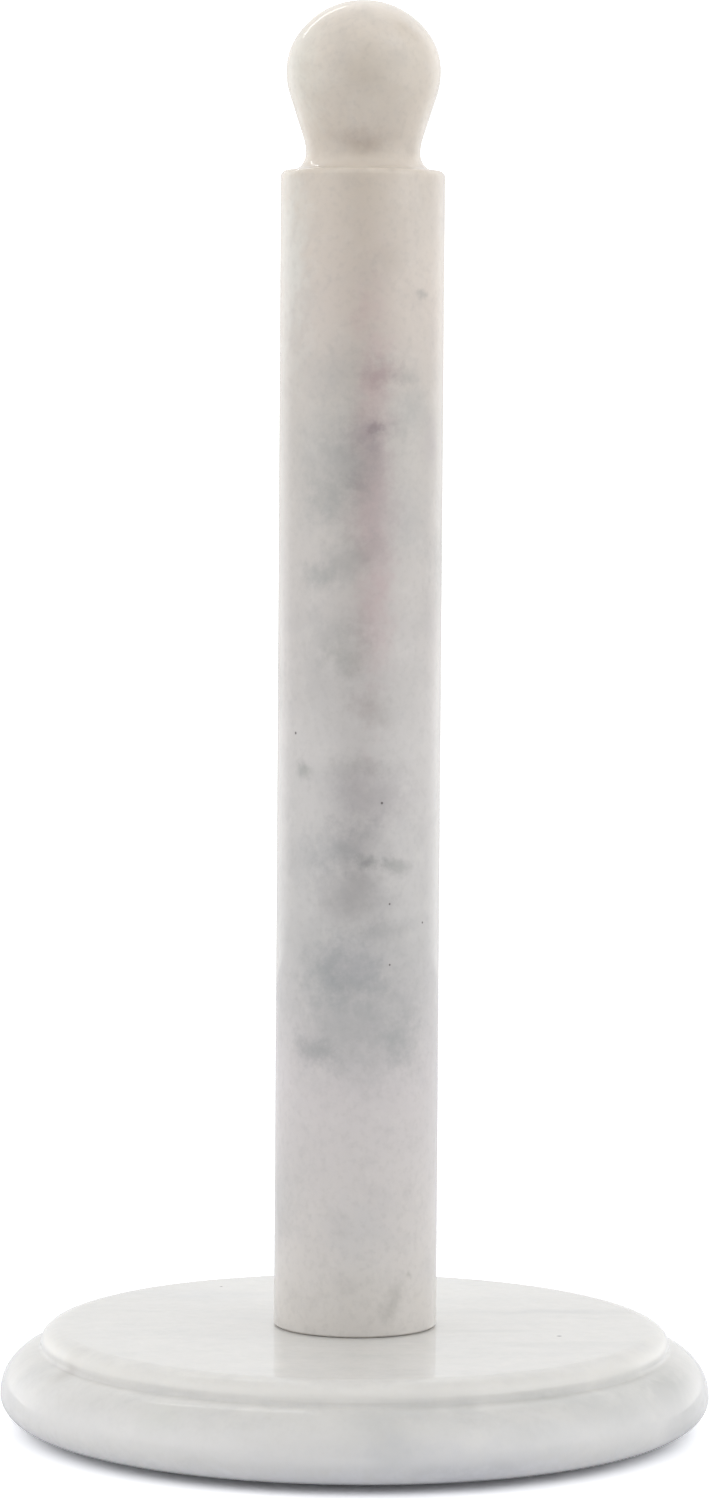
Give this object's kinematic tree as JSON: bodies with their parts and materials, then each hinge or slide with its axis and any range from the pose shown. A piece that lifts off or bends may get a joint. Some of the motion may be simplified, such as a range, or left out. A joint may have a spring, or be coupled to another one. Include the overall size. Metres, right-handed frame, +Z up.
{
  "type": "paper towel holder",
  "caption": "Free-standing paper towel holder of polished marble: a round moulded base with an upright post that ends in a ball knob.",
  "frame": {"origin": "on the counter, under the middle of the base, on the axis of the post", "axes": "+Z up along the post; the feet stand at 45 degrees to X and Y"},
  "size_m": [0.1524, 0.1524, 0.3048],
  "materials": {
    "base_marble": "polished white marble with faint grey clouds",
    "post_marble": "polished warm grey marble with soft clouds and veins",
    "steel": "bright zinc plated",
    "brass": "turned",
    "resin": "cured epoxy",
    "cushion_rubber": "matt black",
    "foot_rubber": "matt dark grey"
  },
  "bodies": {
    "root": {"base": "base_marble", "post": "post_marble", "threaded_insert": "brass", "insert_resin": "resin", "clamp_bolt": "steel", "spring_washer": "steel", "flat_washer": "steel", "cushion_washer": "cushion_rubber", "foot_1": "foot_rubber", "foot_2": "foot_rubber", "foot_3": "foot_rubber", "foot_4": "foot_rubber"}
  },
  "joints": []
}
